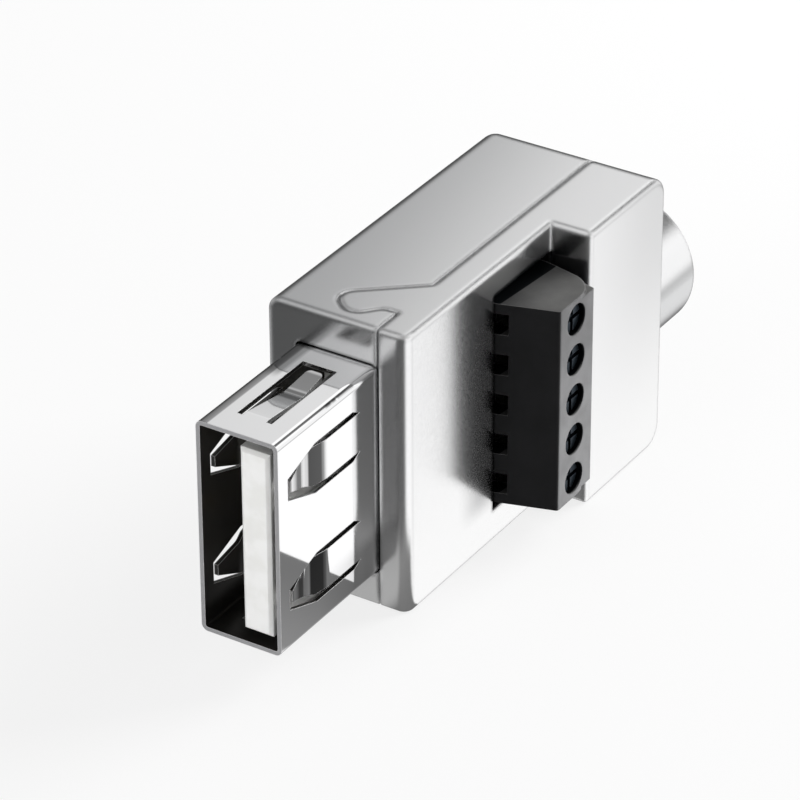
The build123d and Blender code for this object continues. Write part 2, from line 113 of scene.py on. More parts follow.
studioLook = {
    "floorSize": 3000.0,
    "floorColour": (0.87, 0.87, 0.87, 1.0),
    "skyColour": (1.0, 1.0, 1.0, 1.0),
    "skyLight": 0.36,
    # the share of plain white in the floor that the camera sees
    "seenWhite": 0.8,
    # what polished parts mirror, by compass angle from +X towards +Y, low down and high up
    "mirrorGain": 1.1,
    "lowRing": ((-180, 0.62), (-150, 0.5), (-132, 0.15), (-122, 0.15), (-80, 0.13), (-57, 0.145),
                (-44, 0.12), (-33, 0.85), (-26, 1.0), (26, 1.0), (37, 0.72), (48, 0.9), (57, 0.97),
                (62, 0.92), (80, 0.88), (92, 0.62), (103, 0.2), (118, 0.12), (136, 0.12), (158, 0.6)),
    "highRing": ((-180, 0.35), (-132, 0.85), (-100, 0.6), (-40, 0.4), (10, 0.55), (40, 0.95),
                 (54, 1.0), (60, 0.15), (83, 0.12), (90, 1.0), (112, 1.0), (118, 0.85), (123, 0.7),
                 (131, 0.45), (150, 0.3)),
    # how high a direction rises between the low ring and the high one
    "ringFade": (0.12, 0.42),
    # the dim strip just under the horizon, by its low end, middle and high end
    "strip": (-0.48, -0.36, -0.22),
    "stripShare": 0.55,
    # the painted shadow on the floor before the housing, by its left, right, front and rear edges
    "patch": (0.3, 12.0, -18.5, -10.8),
    "patchSoft": (0.25, 1.0, 1.0, 0.06),
    "patchSlope": 0.09,
    "patchNear": 0.41,
    "nearFade": (4.5, 2.5),
    "patchFar": (0.26, 0.18),
}

lampLooks = {
    "keyPanel": {"at": (130, 250, 150), "aim": (0, 0, 6), "size": 200, "watts": 1.25},
    "skyPanel": {"at": (-190, 250, 220), "aim": (0, 0, 9), "size": 240, "watts": 0.12},
    "frontFill": {"at": (-50, -320, 60), "aim": (0, -15, 9), "size": 160, "watts": 0.5},
}


def ringGlow(tree, compass, stops):
    # brightness round the object, by compass angle
    node = tree.nodes.new("ShaderNodeValToRGB")
    ramp = node.color_ramp
    ramp.interpolation = "EASE"
    for number, (angle, glow) in enumerate(stops):
        where = (angle + 180) / 360
        stop = ramp.elements[0] if number == 0 else ramp.elements.new(where)
        stop.position = where
        stop.color = (glow, glow, glow, 1.0)
    # the last stop closes the ring with the first one's brightness
    ending = stops[0][1]
    last = ramp.elements[len(ramp.elements) - 1]
    last.position = 1.0
    last.color = (ending, ending, ending, 1.0)
    tree.links.new(compass, node.inputs["Fac"])
    return node.outputs["Color"]


def mirroredStudio(tree, direction, look):
    # what a polished face mirrors in a direction: soft boxes between dark gaps
    x, y, height = splitParts(tree, direction)
    turn = mathNode(tree, "ARCTAN2", y, x)
    compass = mathNode(tree, "ADD", mathNode(tree, "DIVIDE", turn, 2 * math.pi), 0.5)
    low = ringGlow(tree, compass, look["lowRing"])
    high = ringGlow(tree, compass, look["highRing"])
    bottom, middle, top = look["strip"]
    under = fadeBetween(tree, height, bottom, middle, 1.0, look["stripShare"])
    over = fadeBetween(tree, height, middle, top, look["stripShare"], 1.0)
    low = mathNode(tree, "MULTIPLY", low, mathNode(tree, "MAXIMUM", under, over))
    above = fadeBetween(tree, height, *look["ringFade"])
    rise = mathNode(tree, "MULTIPLY", mathNode(tree, "SUBTRACT", high, low), above)
    return mathNode(tree, "MULTIPLY", mathNode(tree, "ADD", low, rise), look["mirrorGain"])


def paintedFloorShadow(tree, look):
    # share and glow of the painted shadow on the floor before the housing, which only mirrors show
    surface = tree.nodes.new("ShaderNodeNewGeometry")
    parts = splitParts(tree, surface.outputs["Position"])
    x, y = (mathNode(tree, "MULTIPLY", part, 1 / mm) for part in parts[:2])
    left, right, front, rear = look["patch"]
    leftSoft, rightSoft, frontSoft, rearSoft = look["patchSoft"]
    lean = mathNode(tree, "SUBTRACT", y, mathNode(tree, "MULTIPLY", x, look["patchSlope"]))
    sides = mathNode(tree, "MULTIPLY", fadeBetween(tree, x, left - leftSoft, left + leftSoft),
                     fadeBetween(tree, x, right, right - rightSoft))
    ends = mathNode(tree, "MULTIPLY", fadeBetween(tree, y, front - frontSoft, front + frontSoft),
                    fadeBetween(tree, lean, rear + rearSoft, rear - rearSoft))
    near = fadeBetween(tree, x, *look["nearFade"], 0.0, look["patchNear"])
    dim = mathNode(tree, "MAXIMUM", near, fadeBetween(tree, y, front, rear, *look["patchFar"]))
    return mathNode(tree, "MULTIPLY", sides, ends), dim


def mirroredRays(tree):
    # 1 for rays that a polished or clear surface sends on, and the camera's own rays
    rays = tree.nodes.new("ShaderNodeLightPath")
    both = mathNode(tree, "ADD", rays.outputs["Is Glossy Ray"], rays.outputs["Is Transmission Ray"],
                    clamp=True)
    return both, rays.outputs["Is Camera Ray"]


def paleFloor(look):
    # pale and matt where it is seen, so that it keeps the shadow, and bright boxes where it is mirrored,
    # with a painted shadow before the housing that only mirrors show
    material = bpy.data.materials.new("paleFloor")
    material.use_nodes = True
    tree = material.node_tree
    links, make = tree.links, tree.nodes.new
    tree.nodes.clear()
    out = make("ShaderNodeOutputMaterial")
    matte = make("ShaderNodeBsdfDiffuse")
    matte.inputs["Color"].default_value = look["floorColour"]
    white = make("ShaderNodeEmission")
    mirrored, seen = mirroredRays(tree)
    surface = make("ShaderNodeNewGeometry")
    away = make("ShaderNodeVectorMath")
    away.operation = "SCALE"
    links.new(surface.outputs["Incoming"], away.inputs[0])
    away.inputs["Scale"].default_value = -1.0
    plain = make("ShaderNodeMixShader")
    links.new(mathNode(tree, "MULTIPLY", seen, look["seenWhite"]), plain.inputs["Fac"])
    links.new(matte.outputs[0], plain.inputs[1])
    links.new(white.outputs[0], plain.inputs[2])
    glow = make("ShaderNodeEmission")
    far = mirroredStudio(tree, away.outputs[0], look)
    share, dim = paintedFloorShadow(tree, look)
    change = mathNode(tree, "MULTIPLY", mathNode(tree, "SUBTRACT", dim, far), share)
    links.new(mathNode(tree, "ADD", far, change), glow.inputs["Strength"])
    mix = make("ShaderNodeMixShader")
    links.new(mirrored, mix.inputs["Fac"])
    links.new(plain.outputs[0], mix.inputs[1])
    links.new(glow.outputs[0], mix.inputs[2])
    links.new(mix.outputs[0], out.inputs["Surface"])
    return material


def addFloor(look):
    half = look["floorSize"] * mm / 2
    mesh = bpy.data.meshes.new("studioFloor")
    corners = [(-half, -half, 0), (half, -half, 0), (half, half, 0), (-half, half, 0)]
    mesh.from_pydata(corners, [], [(0, 1, 2, 3)])
    floor = bpy.data.objects.new("studioFloor", mesh)
    bpy.context.scene.collection.objects.link(floor)
    mesh.materials.append(paleFloor(look))


def addSky(look):
    world = bpy.data.worlds.new("softStudio")
    bpy.context.scene.world = world
    world.use_nodes = True
    tree = world.node_tree
    tree.nodes.clear()
    out = tree.nodes.new("ShaderNodeOutputWorld")
    sky = tree.nodes.new("ShaderNodeBackground")
    sky.inputs["Color"].default_value = look["skyColour"]
    where = tree.nodes.new("ShaderNodeTexCoord")
    glow = mirroredStudio(tree, where.outputs["Generated"], look)
    mirrored = mirroredRays(tree)[0]
    extra = mathNode(tree, "MULTIPLY", mathNode(tree, "SUBTRACT", glow, look["skyLight"]), mirrored)
    tree.links.new(mathNode(tree, "ADD", extra, look["skyLight"]), sky.inputs["Strength"])
    tree.links.new(sky.outputs[0], out.inputs["Surface"])


def addLamp(name, look):
    # soft panel for the matt parts, mirrored in nothing
    data = bpy.data.lights.new(name, "AREA")
    data.shape = "SQUARE"
    data.size = look["size"] * mm
    data.energy = look["watts"]
    lamp = bpy.data.objects.new(name, data)
    lamp.location = Vector(look["at"]) * mm
    aim = Vector(look["aim"]) * mm
    lamp.rotation_euler = (aim - lamp.location).to_track_quat("-Z", "Y").to_euler()
    lamp.visible_glossy = False
    bpy.context.scene.collection.objects.link(lamp)


addFloor(studioLook)
addSky(studioLook)
for lampName, lampLook in lampLooks.items():
    addLamp(lampName, lampLook)
bpy.context.scene.view_settings.view_transform = "Standard"
print("studio lit")


# Shading helpers, all sizes in millimetres

# most of a noise lies in this range
noiseRange = (0.3, 0.7)
# how well the rounded direction agrees with the flat one, on a face and on a worn edge
wornTurn = (0.995, 0.9)
edgeSamples = 6


def startMaterial(name):
    material = bpy.data.materials.new(name)
    material.use_nodes = True
    tree = material.node_tree
    return material, tree, tree.nodes["Principled BSDF"]


def setShine(surface, metallic, roughness, specular=0.5):
    surface.inputs["Metallic"].default_value = metallic
    surface.inputs["Roughness"].default_value = roughness
    surface.inputs["Specular IOR Level"].default_value = specular


def placeParts(tree):
    # the point on the object, as x, y and z in millimetres
    where = tree.nodes.new("ShaderNodeTexCoord")
    parts = splitParts(tree, where.outputs["Object"])
    return [mathNode(tree, "MULTIPLY", part, 1 / mm) for part in parts]


def facingParts(tree):
    # the surface's direction, as x, y and z
    surface = tree.nodes.new("ShaderNodeNewGeometry")
    return splitParts(tree, surface.outputs["True Normal"])


def noiseAt(tree, size, detail=2.0, stretch=(1, 1, 1)):
    where = tree.nodes.new("ShaderNodeTexCoord")
    pull = tree.nodes.new("ShaderNodeMapping")
    pull.inputs["Scale"].default_value = tuple(1 / (size * mm * part) for part in stretch)
    noise = tree.nodes.new("ShaderNodeTexNoise")
    noise.inputs["Scale"].default_value = 1.0
    noise.inputs["Detail"].default_value = detail
    tree.links.new(where.outputs["Object"], pull.inputs["Vector"])
    tree.links.new(pull.outputs["Vector"], noise.inputs["Vector"])
    return noise.outputs["Fac"]


def mixedColour(tree, kind, share, first, second):
    node = tree.nodes.new("ShaderNodeMix")
    node.data_type = "RGBA"
    node.blend_type = kind
    tree.links.new(share, node.inputs["Factor"])
    for socket, value in ((node.inputs[6], first), (node.inputs[7], second)):
        if isinstance(value, tuple):
            socket.default_value = value
        else:
            tree.links.new(value, socket)
    return node.outputs[2]


def blendColour(tree, share, first, second):
    # first where share is 0, second where it is 1
    return mixedColour(tree, "MIX", share, first, second)


def shadeColour(tree, colour, share, shade):
    # colour times shade where share is 1
    return mixedColour(tree, "MULTIPLY", share, colour, shade)


def bandShades(tree, value, stops):
    # brightness that changes along one axis, from a few chosen places
    first, last = stops[0][0], stops[-1][0]
    node = tree.nodes.new("ShaderNodeValToRGB")
    ramp = node.color_ramp
    for number, (place, shade) in enumerate(stops):
        where = (place - first) / (last - first)
        if number in (0, len(stops) - 1):
            stop = ramp.elements[0 if number == 0 else len(ramp.elements) - 1]
        else:
            stop = ramp.elements.new(where)
        stop.position = where
        stop.color = (shade, shade, shade, 1.0)
    along = tree.nodes.new("ShaderNodeMapRange")
    along.inputs["From Min"].default_value = first
    along.inputs["From Max"].default_value = last
    tree.links.new(value, along.inputs["Value"])
    tree.links.new(along.outputs["Result"], node.inputs["Fac"])
    return node.outputs["Color"]


def roundedEdges(tree, radius):
    # soft highlight along sharp edges
    node = tree.nodes.new("ShaderNodeBevel")
    node.samples = edgeSamples
    node.inputs["Radius"].default_value = radius * mm
    return node.outputs["Normal"]


def edgeWear(tree, rounded):
    # 1 along the edges that rounded turns, 0 on open faces
    surface = tree.nodes.new("ShaderNodeNewGeometry")
    turn = tree.nodes.new("ShaderNodeVectorMath")
    turn.operation = "DOT_PRODUCT"
    tree.links.new(surface.outputs["Normal"], turn.inputs[0])
    tree.links.new(rounded, turn.inputs[1])
    return fadeBetween(tree, turn.outputs["Value"], *wornTurn)


def crevices(tree, reach):
    # 0 in corners and grooves, 1 in the open, for painted shade
    node = tree.nodes.new("ShaderNodeAmbientOcclusion")
    node.samples = edgeSamples
    node.inputs["Distance"].default_value = reach * mm
    return node.outputs["AO"]


def bumpFrom(tree, source, depth, normal=None):
    bump = tree.nodes.new("ShaderNodeBump")
    bump.inputs["Strength"].default_value = 1.0
    bump.inputs["Distance"].default_value = depth * mm
    tree.links.new(source, bump.inputs["Height"])
    if normal is not None:
        tree.links.new(normal, bump.inputs["Normal"])
    return bump.outputs["Normal"]


def dress(names, material):
    for name in names:
        mesh = nodes[name].data
        mesh.materials.clear()
        mesh.materials.append(material)


# Cast housing: satin silver with a fine grain and soft edges, painted light and shade over its faces,
# edges and crevices, and a dark inside painted as shade

castLook = {
    # painted light and shade in these tones: left, right, side, rear and low follow how the light falls,
    # the collar is lit on top and shaded low, and the corner tone is the shade beside the terminal block
    "leftColour": (0.49, 0.495, 0.50, 1.0),
    "rightColour": (0.82, 0.82, 0.825, 1.0),
    "sideColour": (0.89, 0.89, 0.895, 1.0),
    "collarColour": (0.93, 0.93, 0.935, 1.0),
    "collarLowColour": (0.70, 0.705, 0.71, 1.0),
    "cornerColour": (0.58, 0.58, 0.585, 1.0),
    "rearColour": (0.74, 0.74, 0.745, 1.0),
    "lowColour": (0.95, 0.95, 0.95, 1.0),
    "edgeShadeColour": (0.33, 0.335, 0.34, 1.0),
    "creviceShadeColour": (0.30, 0.30, 0.305, 1.0),
    "insideShadeColour": (0.035, 0.035, 0.036, 1.0),
    "roughness": 0.2,
    "roughSpread": (-0.02, 0.04),
    "insideRoughness": 0.6,
    "cornerRoughness": 0.05,
    "cornerEven": 0.85,
    "grainSize": 0.11,
    "grainDepth": 0.0015,
    "edgeRound": 0.38,
    # painted shade in corners and grooves, by how far it looks for them and how it fades
    "grooveReach": 0.16,
    "grooveFade": (0.75, 0.3),
    # the housing's outer faces and its step
    "leftX": -4.4,
    "frontX": 4.45,
    "rearX": 6.95,
    "stepY": 3.5,
    "endY": 11.65,
    "topZ": 17.5,
    "stepSoft": 0.1,
    # how far behind the outer faces a face counts as inside
    "wallDepth": (0.4, 0.75),
    # the terminal window, by its middle and half its size along y and z
    "windowMiddle": (0.3, 8.9),
    "windowHalf": (3.3, 6.75),
    "windowSoft": 0.05,
    "windowDepth": (0.02, 0.2),
    "windowX": (2.85, 3.15),
    # the shade beside the terminal block, by its middle and its fades along y and z
    "cornerMiddle": (-3.2, 8.9),
    "cornerFades": ((3.4, 0.6), (6.9, 5.2)),
    # where one painted tone of light and shade passes into the next
    "acrossSlope": 0.18,
    "acrossFade": (-6.0, 7.0),
    "besideFacing": (0.3, 0.7),
    "topFacing": (0.5, 0.9),
    "rearFade": (2.0, 11.0),
    "lowFade": (15.0, 1.0),
    "endSoft": 0.2,
    "collarStart": (11.7, 11.8),
    "collarRim": (16.0, 16.12),
    "collarFade": (10.2, 8.6),
    # the painted shade along the top's left and rear edges, by its reach and strength
    "edgeFall": 0.9,
    "edgeShare": 0.6,
}


def insideHousing(tree, place, look):
    # 1 on faces that lie deeper than a wall behind the housing's outside, where the inside is painted
    # dark as shade
    x, y, z = place
    right = fadeBetween(tree, y, look["stepY"], look["stepY"] + look["stepSoft"],
                        look["frontX"], look["rearX"])
    behind = mathNode(tree, "SUBTRACT", right, x)
    depth = mathNode(tree, "MINIMUM", mathNode(tree, "SUBTRACT", x, look["leftX"]), behind)
    for other in (
        mathNode(tree, "SUBTRACT", look["endY"], mathNode(tree, "ABSOLUTE", y)),
        mathNode(tree, "SUBTRACT", look["topZ"], z),
        z,
    ):
        depth = mathNode(tree, "MINIMUM", depth, other)
    # the window's own walls get the painted shade from its edge on
    shadedWindowWalls = mathNode(tree, "MULTIPLY", fadeBetween(tree, behind, *look["windowDepth"]),
                   fadeBetween(tree, x, *look["windowX"]))
    for part, middle, half in zip((y, z), look["windowMiddle"], look["windowHalf"]):
        offset = distanceFrom(tree, part, middle)
        shadedWindowWalls = mathNode(tree, "MULTIPLY", shadedWindowWalls, fadeBetween(tree, offset, half, half - look["windowSoft"]))
    return mathNode(tree, "MAXIMUM", fadeBetween(tree, depth, *look["wallDepth"]), shadedWindowWalls)


def besideTerminals(tree, place, beside, look):
    # 1 on the side face next to the terminal block, fading out all round
    share = beside
    for part, middle, fade in zip(place[1:], look["cornerMiddle"], look["cornerFades"]):
        offset = distanceFrom(tree, part, middle)
        share = mathNode(tree, "MULTIPLY", share, fadeBetween(tree, offset, *fade))
    return share


def paintedCastShading(tree, place, beside, look):
    # painted light and shade: the housing paler to the right and low down, paler on its side, darker
    # towards the side's rear, and the collar paler on top and darker low down
    across = mathNode(tree, "ADD", place[0], mathNode(tree, "MULTIPLY", place[1], look["acrossSlope"]))
    colour = blendColour(tree, fadeBetween(tree, across, *look["acrossFade"]),
                         look["leftColour"], look["rightColour"])
    colour = blendColour(tree, beside, colour, look["sideColour"])
    rear = productOf(tree, fadeBetween(tree, place[1], *look["rearFade"]),
                     fadeBetween(tree, place[1], look["endY"] + look["endSoft"], look["endY"]), beside)
    colour = blendColour(tree, rear, colour, look["rearColour"])
    colour = blendColour(tree, fadeBetween(tree, place[2], *look["lowFade"]), colour, look["lowColour"])
    ring = fadeBetween(tree, place[1], *look["collarStart"])
    hoop = blendColour(tree, fadeBetween(tree, place[2], *look["collarFade"]),
                       look["collarColour"], look["collarLowColour"])
    return blendColour(tree, ring, colour, hoop)


def paintedEdgeShade(tree, place, upward, look):
    # painted shade: 1 along the top's left and rear edges and on the collar's rim
    left = mathNode(tree, "SUBTRACT", place[0], look["leftX"])
    back = mathNode(tree, "SUBTRACT", look["endY"], place[1])
    edge = mathNode(tree, "ABSOLUTE", mathNode(tree, "MINIMUM", left, back))
    fall = fadeBetween(tree, edge, look["edgeFall"], 0.0, 0.0, look["edgeShare"])
    fall = mathNode(tree, "MULTIPLY", fall, fadeBetween(tree, upward, *look["topFacing"]))
    return mathNode(tree, "MAXIMUM", fall, fadeBetween(tree, place[1], *look["collarRim"]))


def castMetal(look):
    material, tree, surface = startMaterial("castSatin")
    setShine(surface, 1.0, look["roughness"])
    place, facing = placeParts(tree), facingParts(tree)
    beside = fadeBetween(tree, facing[0], *look["besideFacing"])
    corner = besideTerminals(tree, place, beside, look)
    inside = insideHousing(tree, place, look)
    # painted shade in the corners and grooves
    creviceShade = fadeBetween(tree, crevices(tree, look["grooveReach"]), *look["grooveFade"])
    colour = paintedCastShading(tree, place, beside, look)
    colour = blendColour(tree, corner, colour, look["cornerColour"])
    colour = blendColour(tree, paintedEdgeShade(tree, place, facing[2], look), colour, look["edgeShadeColour"])
    colour = blendColour(tree, creviceShade, colour, look["creviceShadeColour"])
    colour = blendColour(tree, inside, colour, look["insideShadeColour"])
    tree.links.new(colour, surface.inputs["Base Color"])
    grain = noiseAt(tree, look["grainSize"], 3.0)
    smooth, coarse = (look["roughness"] + change for change in look["roughSpread"])
    rough = fadeBetween(tree, grain, *noiseRange, smooth, coarse)
    dull = mathNode(tree, "MULTIPLY", inside, look["insideRoughness"] - look["roughness"])
    rough = mathNode(tree, "ADD", rough, dull)
    # the blast is even and a little duller in the corner beside the terminals
    rough = mathNode(tree, "ADD", rough, mathNode(tree, "MULTIPLY", corner, look["cornerRoughness"]))
    tree.links.new(rough, surface.inputs["Roughness"])
    even = mathNode(tree, "MULTIPLY", corner, look["cornerEven"])
    grain = mathNode(tree, "MULTIPLY", grain, mathNode(tree, "SUBTRACT", 1.0, even))
    rounded = roundedEdges(tree, look["edgeRound"])
    tree.links.new(bumpFrom(tree, grain, look["grainDepth"], rounded), surface.inputs["Normal"])
    return material


dress(shellNodes, castMetal(castLook))
print("cast housing dressed")


# Socket shell: mirror plating with faint drawing lines and painted reflection bands, dull inside and
# painted dark there as shade

plateLook = {
    "colour": (0.95, 0.95, 0.955, 1.0),
    "insideShadeColour": (0.04, 0.038, 0.035, 1.0),
    "insideShine": 0.75,
    "cutColour": (0.42, 0.42, 0.43, 1.0),
    "cutShine": 0.3,
    "edgeColour": (0.82, 0.82, 0.825, 1.0),
    "edgeShine": 0.4,
    "roughness": 0.04,
    "insideRoughness": 0.3,
    "smudgeSize": 1.5,
    "smudgeRoughness": 0.02,
    "lineSize": 0.06,
    "lineStretch": (1, 40, 1),
    "lineDepth": 0.00006,
    "edgeRound": 0.05,
    # just under the skin on the right and on top, and the mouth's edge
    "underRight": (2.55, 2.51),
    "underTop": (15.18, 15.14),
    "mouthY": (-21.05, -21.1),
    "mouthFacing": (-0.8, -0.95),
    "skinFacing": (0.5, 0.7),
    # the socket is taller than wide, so heights from its middle are narrowed to match widths
    "middleZ": 8.65,
    "heightShare": 0.38,
    "insideFade": (-0.1, -0.6),
    # the left tabs, by how far right they reach, and the narrowed heights that tabs keep to
    "deepX": (1.2, 0.8),
    "deepHeight": (2.2, 2.1),
    "deepShare": 0.9,
    "tabHeight": (2.0, 1.95),
    # painted reflections: how the pressed tabs and the folded edges break the light, by place
    "broadTab": ((-20.4, 0.2), (-19.9, 0.25), (-19.7, 0.9), (-19.35, 0.55), (-19.05, 0.1),
                 (-18.65, 0.14), (-18.5, 0.75), (-18.0, 0.85), (-17.88, 0.1), (-16.98, 0.12),
                 (-16.85, 0.36), (-16.3, 0.42), (-16.15, 1.0)),
    "keyTab": ((-19.2, 1.0), (-17.5, 0.95), (-16.5, 0.75), (-16.3, 0.28), (-16.0, 0.25), (-15.85, 0.55),
               (-15.68, 0.3), (-15.5, 0.32), (-15.38, 0.95), (-15.22, 0.48), (-13.85, 0.44),
               (-13.68, 1.0)),
    "topFold": ((-2.6, 0.3), (-2.3, 0.22), (-2.05, 0.3), (-1.88, 0.42), (-1.78, 1.0)),
    "rearFold": ((-2.6, 0.5), (-1.9, 0.45), (-1.55, 0.55), (-1.3, 1.0)),
    "rearFade": (-15.6, -14.6),
    # painted shade: the low part of the right side darkens towards the housing
    "lowRear": ((-20.0, 1.0), (-17.5, 0.99), (-14.8, 0.82), (-12.8, 0.58)),
    "lowFade": (5.5, 4.2),
}


def insideSocket(tree, place, facing, height, look):
    # painted shade: 1 on faces that look inwards, and on the left tabs, which stand deep in the mouth
    across = mathNode(tree, "MULTIPLY", place[0], facing[0])
    along = mathNode(tree, "MULTIPLY", height, facing[2])
    inside = fadeBetween(tree, mathNode(tree, "ADD", across, along), *look["insideFade"])
    level = mathNode(tree, "ABSOLUTE", height)
    deep = productOf(tree, fadeBetween(tree, place[0], *look["deepX"]),
                     fadeBetween(tree, level, *look["deepHeight"]), look["deepShare"])
    return mathNode(tree, "MAXIMUM", inside, deep)


def paintedPlateBands(tree, place, facing, height, look):
    # plating colour with painted reflection bands, where tabs and folds would mirror light and dark
    ahead, upward = (fadeBetween(tree, facing[k], *look["skinFacing"]) for k in (0, 2))
    level = mathNode(tree, "ABSOLUTE", height)
    broad = productOf(tree, fadeBetween(tree, place[0], *look["underRight"]),
                      fadeBetween(tree, level, *look["tabHeight"]), ahead)
    key = mathNode(tree, "MULTIPLY", upward, fadeBetween(tree, place[2], *look["underTop"]))
    base = mathNode(tree, "MULTIPLY", ahead, fadeBetween(tree, place[2], *look["lowFade"]))
    rear = mathNode(tree, "MULTIPLY", upward, fadeBetween(tree, place[1], *look["rearFade"]))
    colour = look["colour"]
    for share, axis, bands in (
        (broad, 1, "broadTab"),
        (key, 1, "keyTab"),
        (upward, 0, "topFold"),
        (base, 1, "lowRear"),
        (rear, 0, "rearFold"),
    ):
        colour = shadeColour(tree, colour, share, bandShades(tree, place[axis], look[bands]))
    return colour


def brightPlate(look):
    material, tree, surface = startMaterial("brightPlate")
    setShine(surface, 1.0, look["roughness"])
    place, facing = placeParts(tree), facingParts(tree)
    height = mathNode(tree, "SUBTRACT", place[2], look["middleZ"])
    height = mathNode(tree, "MULTIPLY", height, look["heightShare"])
    inside = insideSocket(tree, place, facing, height, look)
    # the sheet's cut edge round the mouth is bare and scatters the light, with burnished corners
    rounded = roundedEdges(tree, look["edgeRound"])
    worn = edgeWear(tree, rounded)
    cut = mathNode(tree, "MULTIPLY", fadeBetween(tree, facing[1], *look["mouthFacing"]),
                   fadeBetween(tree, place[1], *look["mouthY"]))
    colour = paintedPlateBands(tree, place, facing, height, look)
    colour = blendColour(tree, inside, colour, look["insideShadeColour"])
    colour = blendColour(tree, cut, colour, look["cutColour"])
    colour = blendColour(tree, worn, colour, look["edgeColour"])
    tree.links.new(colour, surface.inputs["Base Color"])
    loss = mathNode(tree, "MULTIPLY", inside, look["insideShine"] - 1)
    for share, shine in ((cut, "cutShine"), (worn, "edgeShine")):
        loss = mathNode(tree, "MINIMUM", loss, mathNode(tree, "MULTIPLY", share, look[shine] - 1))
    tree.links.new(mathNode(tree, "ADD", loss, 1.0), surface.inputs["Metallic"])
    smudge = noiseAt(tree, look["smudgeSize"], 3.0)
    smudge = fadeBetween(tree, smudge, *noiseRange, 0.0, look["smudgeRoughness"])
    dull = mathNode(tree, "MULTIPLY", mathNode(tree, "MAXIMUM", inside, cut),
                    look["insideRoughness"] - look["roughness"])
    rough = mathNode(tree, "ADD", mathNode(tree, "ADD", smudge, look["roughness"]), dull)
    tree.links.new(rough, surface.inputs["Roughness"])
    lines = noiseAt(tree, look["lineSize"], 2.0, look["lineStretch"])
    tree.links.new(bumpFrom(tree, lines, look["lineDepth"], rounded), surface.inputs["Normal"])
    return material


dress(["usb_shell"], brightPlate(plateLook))


# Insulator: white nylon, slightly cloudy

nylonLook = {
    "colour": (0.92, 0.92, 0.91, 1.0),
    "cloudColour": (0.86, 0.86, 0.84, 1.0),
    "roughness": 0.42,
    "glowShare": 0.2,
    "glowReach": 0.4,
    "cloudSize": 1.2,
    "cloudFade": (0.35, 0.65),
    "grainSize": 0.08,
    "grainDepth": 0.001,
    "edgeRound": 0.08,
}


def whiteNylon(look):
    material, tree, surface = startMaterial("whiteNylon")
    setShine(surface, 0.0, look["roughness"])
    clouds = fadeBetween(tree, noiseAt(tree, look["cloudSize"], 3.0), *look["cloudFade"])
    colour = blendColour(tree, clouds, look["colour"], look["cloudColour"])
    tree.links.new(colour, surface.inputs["Base Color"])
    surface.inputs["Subsurface Weight"].default_value = look["glowShare"]
    surface.inputs["Subsurface Radius"].default_value = (look["glowReach"] * mm,) * 3
    surface.inputs["Subsurface Scale"].default_value = 1.0
    grain = noiseAt(tree, look["grainSize"], 2.0)
    normal = bumpFrom(tree, grain, look["grainDepth"], roundedEdges(tree, look["edgeRound"]))
    tree.links.new(normal, surface.inputs["Normal"])
    return material


dress(["usb_insulator"], whiteNylon(nylonLook))
print("socket dressed")


# Terminal block: black moulding, matt in front, with painted light on its ends, hole face and upper
# edges, and painted shade in its wells and end gap

blockLook = {
    "colour": (0.010, 0.010, 0.011, 1.0),
    "endLightColour": (0.115, 0.115, 0.112, 1.0),
    "holeFaceLightColour": (0.25, 0.25, 0.255, 1.0),
    "recessShadeColour": (0.003, 0.0035, 0.004, 1.0),
    "edgeHighlightColour": (0.24, 0.24, 0.24, 1.0),
    "roughness": 0.42,
    "specular": 0.26,
    "wellSpecular": 0.02,
    "rubbedRoughness": 0.3,
    "grainSize": 0.1,
    "grainDepth": 0.0015,
    "cloudSize": 1.8,
    "cloudSpread": (0.82, 1.08),
    "edgeRound": 0.12,
    # the gap between the block's end and the housing, painted dark as shade, which leans a little
    "darkEnd": (4.87, 4.95),
    "darkLean": 0.087,
    "endFacing": (0.5, 0.9),
    # painted light: how the end turns pale, from a place to a place and from a share to a share
    "paleX": (4.95, 7.0, 0.55, 1.0),
    "paleY": (-2.7, -0.5, 0.6, 1.0),
    # painted light: the face with the screw holes, paler towards its foot
    "holeFace": (7.8, 7.9),
    "holeFacing": (0.8, 0.97),
    "holeFaceLightFade": (15.5, 2.5, 0.66, 1.25),
    "wellPitch": 2.54,
    "wellRadius": (1.01, 0.99),
    "wellY": 0.1,
    "wellZ": 8.9,
}


def screwWells(tree, place, look):
    # 1 inside the row of round wells, which are painted dark as shade
    half = look["wellPitch"] / 2
    lane = mathNode(tree, "ADD", place[2], half - look["wellZ"])
    rise = mathNode(tree, "SUBTRACT", mathNode(tree, "FLOORED_MODULO", lane, look["wellPitch"]), half)
    side = mathNode(tree, "SUBTRACT", place[1], look["wellY"])
    squares = [mathNode(tree, "MULTIPLY", part, part) for part in (rise, side)]
    reach = mathNode(tree, "SQRT", mathNode(tree, "ADD", *squares))
    return mathNode(tree, "MULTIPLY", fadeBetween(tree, reach, *look["wellRadius"]),
                    fadeBetween(tree, place[0], *reversed(look["holeFace"])))


